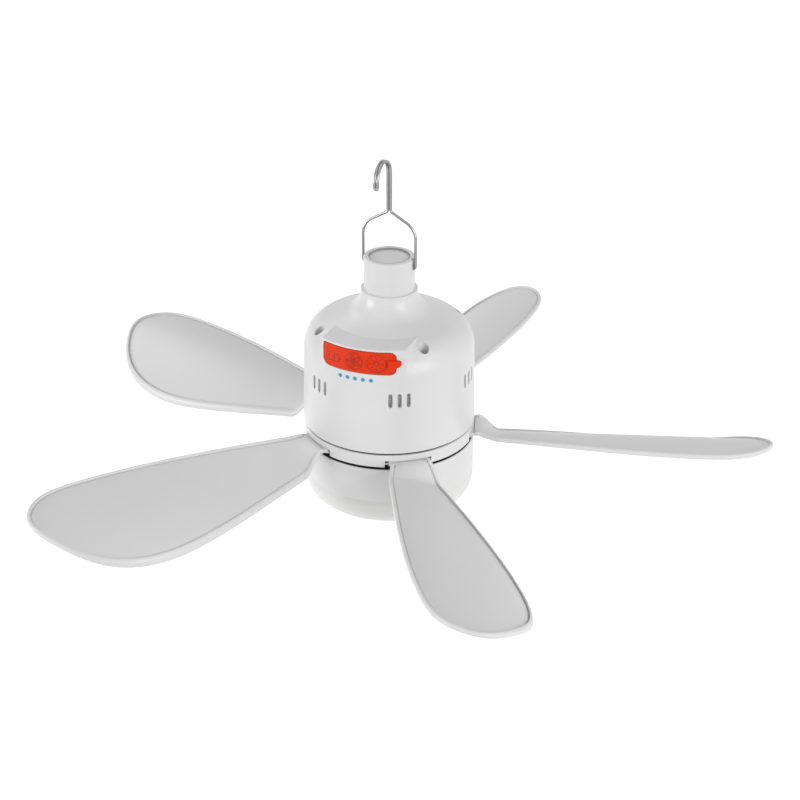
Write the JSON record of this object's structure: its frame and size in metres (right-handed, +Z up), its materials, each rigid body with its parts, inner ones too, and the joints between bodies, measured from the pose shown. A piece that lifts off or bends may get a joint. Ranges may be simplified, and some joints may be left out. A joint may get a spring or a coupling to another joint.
{
  "type": "portable camping fan",
  "caption": "Hanging camping fan: a battery housing on a wire hook, folding blades that turn round the body, and a domed lamp below.",
  "frame": {"origin": "the hanging point: the top of the space inside the hook, where the cord or peg it hangs on lies", "axes": "+Z up along the hook's shank and parallel to the fan's axis, -Y towards the side with the cover strip, X along the hook's pivots; metres"},
  "size_m": [0.3834, 0.3696, 0.1934],
  "materials": {
    "hook_wire": "bright plated drawn wire",
    "housing_plastic": "satin injection-moulded ABS",
    "neck_plastic": "satin injection-moulded ABS",
    "cover_rubber": "satin moulded silicone",
    "key_plastic": "moulded",
    "socket_shell": "stamped and plated",
    "level_lens": "clear moulded",
    "circuit_board": "solder mask",
    "tray_plastic": "moulded",
    "cell_wrap": "shrink-wrapped",
    "contact_nickel": "stamped nickel strip",
    "inner_plastic": "moulded",
    "screw_steel": "plated",
    "shaft_steel": "ground",
    "stator_steel": "stacked laminations",
    "winding_copper": "enamelled wire",
    "bearing_steel": "ground",
    "can_steel": "drawn",
    "magnet_ferrite": "sintered",
    "rotor_plastic": "satin injection-moulded ABS",
    "pin_steel": "drawn wire",
    "blade_plastic": "satin injection-moulded ABS",
    "lamp_plastic": "satin injection-moulded ABS",
    "led_board_white": "white solder mask",
    "led_phosphor": "silicone with phosphor",
    "diffuser_frosted": "frosted injection-moulded polycarbonate"
  },
  "bodies": {
    "hook": {"hook": "hook_wire"},
    "housing": {"upper_housing": "housing_plastic", "neck_stem": "neck_plastic", "neck_cap": "neck_plastic", "cover_anchor": "cover_rubber", "usb_socket": "socket_shell", "level_lights": "level_lens", "control_board": "circuit_board", "battery_tray": "tray_plastic", "battery_cells": "cell_wrap", "battery_contacts": "contact_nickel", "base_plate": "inner_plastic", "housing_screws": "screw_steel", "motor_shaft": "shaft_steel", "motor_stator": "stator_steel", "motor_windings": "winding_copper", "lamp_housing": "lamp_plastic", "shaft_nut": "screw_steel", "led_board": "led_board_white", "lamp_screws": "screw_steel", "led_chips": "led_phosphor", "diffuser": "diffuser_frosted"},
    "rotor": {"rotor_ring": "rotor_plastic", "rotor_screws": "screw_steel", "blade_pins": "pin_steel", "motor_can": "can_steel", "magnet_ring": "magnet_ferrite", "lower_bearing": "bearing_steel", "upper_bearing": "bearing_steel"},
    "port_cover": {"port_cover": "cover_rubber"},
    "fan_button": {"fan_button": "key_plastic"},
    "light_button": {"light_button": "key_plastic"},
    "blade_1": {"blade_1": "blade_plastic"},
    "blade_2": {"blade_2": "blade_plastic"},
    "blade_3": {"blade_3": "blade_plastic"},
    "blade_4": {"blade_4": "blade_plastic"},
    "blade_5": {"blade_5": "blade_plastic"}
  },
  "joints": [
    {"name": "housing_swing", "type": "hinge", "parent": "hook", "child": "housing", "pos_m": [0, 0.0086, -0.05705], "axis": [1, 0, 0], "range_deg": [-101, 115]},
    {"name": "rotor_spin", "type": "hinge", "parent": "housing", "child": "rotor", "pos_m": [0, 0.0086, -0.14585], "axis": [0, 0, 1], "continuous": true},
    {"name": "port_cover_open", "type": "hinge", "parent": "housing", "child": "port_cover", "pos_m": [-0.01722, -0.03297, -0.09275], "axis": [0, 0, -1], "range_deg": [0, 110]},
    {"name": "fan_button_press", "type": "slide", "parent": "housing", "child": "fan_button", "axis": [0, 1, 0], "range_m": [0, 0.0008], "stiffness_N_per_m": 900, "springref_m": -0.0004},
    {"name": "light_button_press", "type": "slide", "parent": "housing", "child": "light_button", "axis": [0, 1, 0], "range_m": [0, 0.0008], "stiffness_N_per_m": 900, "springref_m": -0.0004},
    {"name": "blade_fold_1", "type": "hinge", "parent": "rotor", "child": "blade_1", "pos_m": [0.0388, 0.02121, -0.14875], "axis": [-0.309, 0.9511, 0], "range_deg": [0, 40]},
    {"name": "blade_fold_2", "type": "hinge", "parent": "rotor", "child": "blade_2", "pos_m": [0, 0.0494, -0.14875], "axis": [-1, 0, 0], "range_deg": [0, 40]},
    {"name": "blade_fold_3", "type": "hinge", "parent": "rotor", "child": "blade_3", "pos_m": [-0.0388, 0.02121, -0.14875], "axis": [-0.309, -0.9511, 0], "range_deg": [0, 40]},
    {"name": "blade_fold_4", "type": "hinge", "parent": "rotor", "child": "blade_4", "pos_m": [-0.02398, -0.02441, -0.14875], "axis": [0.809, -0.5878, 0], "range_deg": [0, 40]},
    {"name": "blade_fold_5", "type": "hinge", "parent": "rotor", "child": "blade_5", "pos_m": [0.02398, -0.02441, -0.14875], "axis": [0.809, 0.5878, 0], "range_deg": [0, 40]}
  ]
}
